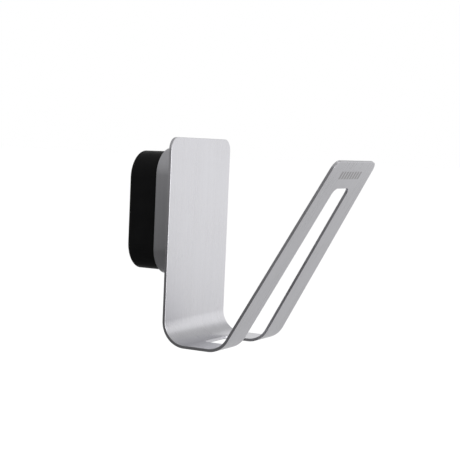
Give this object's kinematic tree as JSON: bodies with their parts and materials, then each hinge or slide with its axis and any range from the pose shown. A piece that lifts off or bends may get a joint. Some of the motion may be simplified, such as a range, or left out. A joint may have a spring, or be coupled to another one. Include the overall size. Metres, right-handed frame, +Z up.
{
  "type": "headphone hook",
  "caption": "Wall-mounted hook of bent brushed steel sheet with a slotted, outward-leaning arm, on a cup that slides over a black base.",
  "frame": {"origin": "centre of the wall face, where the gasket's back meets the wall", "axes": "+Z up, +Y into the wall, so the hook reaches towards -Y; +X across the strap"},
  "size_m": [0.06, 0.1126, 0.1025],
  "materials": {
    "brushed_steel": "satin brushed stainless sheet",
    "zinc_steel": "bright zinc-plated",
    "grub_steel": "plain dark alloy steel",
    "black_plastic": "fine-grained matt moulding",
    "black_rubber": "soft matt sheet"
  },
  "bodies": {
    "base": {"base_block": "black_plastic", "wall_bracket": "zinc_steel", "bracket_screws": "zinc_steel", "wall_gasket": "black_rubber"},
    "hook": {"hook_strap": "brushed_steel", "mount_cup": "brushed_steel", "backing_plate": "zinc_steel", "weld_studs": "zinc_steel", "stud_washers": "zinc_steel", "stud_nuts": "zinc_steel", "grub_bush": "zinc_steel"},
    "grub": {"grub_screw": "grub_steel"}
  },
  "joints": [
    {"name": "hook_pull_off", "type": "slide", "parent": "base", "child": "hook", "axis": [0, -1, 0], "range_m": [0, 0.02]},
    {"name": "grub_back_out", "type": "slide", "parent": "hook", "child": "grub", "axis": [0, 0, -1], "range_m": [0, 0.0015]}
  ]
}
